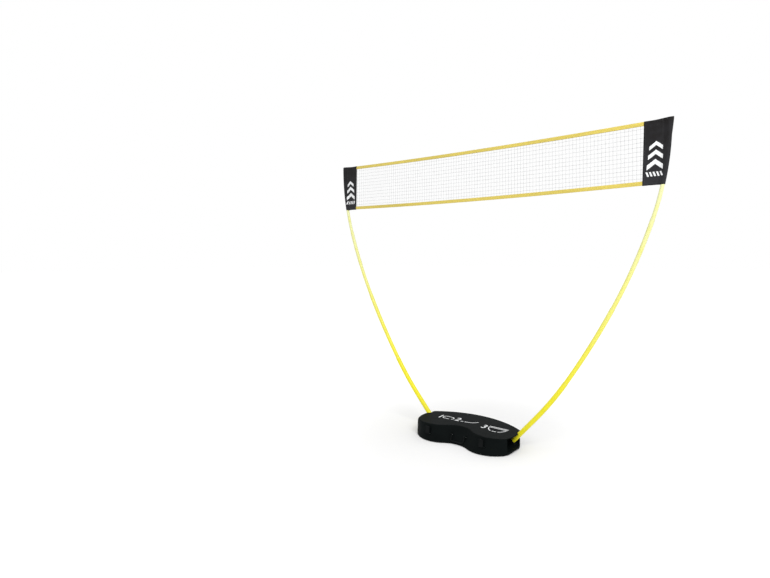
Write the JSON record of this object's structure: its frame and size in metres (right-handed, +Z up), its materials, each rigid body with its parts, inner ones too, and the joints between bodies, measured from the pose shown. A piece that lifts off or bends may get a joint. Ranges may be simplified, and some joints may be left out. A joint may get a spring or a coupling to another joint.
{
  "type": "portable volleyball net",
  "caption": "Free-standing net strip held at head height between bowed plug-together poles that rise from the ends of a low kidney-shaped carrying case.",
  "frame": {"origin": "on the floor under the middle of the part's bounding box", "axes": "+X along the net, +Y to the back of the case, where the lid is hinged, +Z up; the picture is taken from the -Y side"},
  "size_m": [2.9232, 0.4168, 2.2211],
  "materials": {
    "case_plastic": "blow-moulded black plastic, soft sheen",
    "trim_plastic": "injection-moulded black plastic",
    "pole_paint": "glossy lemon-yellow paint on tube",
    "mesh": "light grey knotted twine",
    "tape": "mustard-yellow woven tape, folded and stitched",
    "panel": "charcoal coated cloth",
    "rubber": "black rubber",
    "steel": "zinc-plated steel"
  },
  "bodies": {
    "base": {"bottom_tape": "tape", "bracket_screws": "steel", "case_base": "case_plastic", "end_panel_left": "panel", "end_panel_right": "panel", "handle_pins": "steel", "latch_pins": "steel", "lid_hinge_pins": "steel", "net_mesh": "mesh", "pole_bracket_left": "trim_plastic", "pole_bracket_right": "trim_plastic", "pole_left_lower": "pole_paint", "pole_left_root": "pole_paint", "pole_left_top": "pole_paint", "pole_left_upper": "pole_paint", "pole_plug_left": "trim_plastic", "pole_plug_right": "trim_plastic", "pole_pocket_left": "panel", "pole_pocket_right": "panel", "pole_right_lower": "pole_paint", "pole_right_root": "pole_paint", "pole_right_top": "pole_paint", "pole_right_upper": "pole_paint", "pole_stops_left": "trim_plastic", "pole_stops_right": "trim_plastic", "rubber_feet": "rubber", "top_tape": "tape"},
    "lid": {"case_lid": "case_plastic"},
    "latch_left_body": {"latch_left": "trim_plastic"},
    "latch_right_body": {"latch_right": "trim_plastic"},
    "handle": {"carry_handle": "trim_plastic"}
  },
  "joints": [
    {"name": "lid_hinge", "type": "hinge", "parent": "base", "child": "lid", "pos_m": [0, 0.2025, 0.091], "axis": [-1, 0, 0], "range_deg": [0, 100]},
    {"name": "latch_left_turn", "type": "hinge", "parent": "base", "child": "latch_left_body", "pos_m": [-0.24, -0.19761, 0.056], "axis": [1, 0, 0], "range_deg": [-12, 100]},
    {"name": "latch_right_turn", "type": "hinge", "parent": "base", "child": "latch_right_body", "pos_m": [0.24, -0.19761, 0.056], "axis": [1, 0, 0], "range_deg": [-12, 100]},
    {"name": "handle_swing", "type": "hinge", "parent": "base", "child": "handle", "pos_m": [0, -0.13786, 0.066], "axis": [-1, 0, 0], "range_deg": [0, 110]}
  ]
}
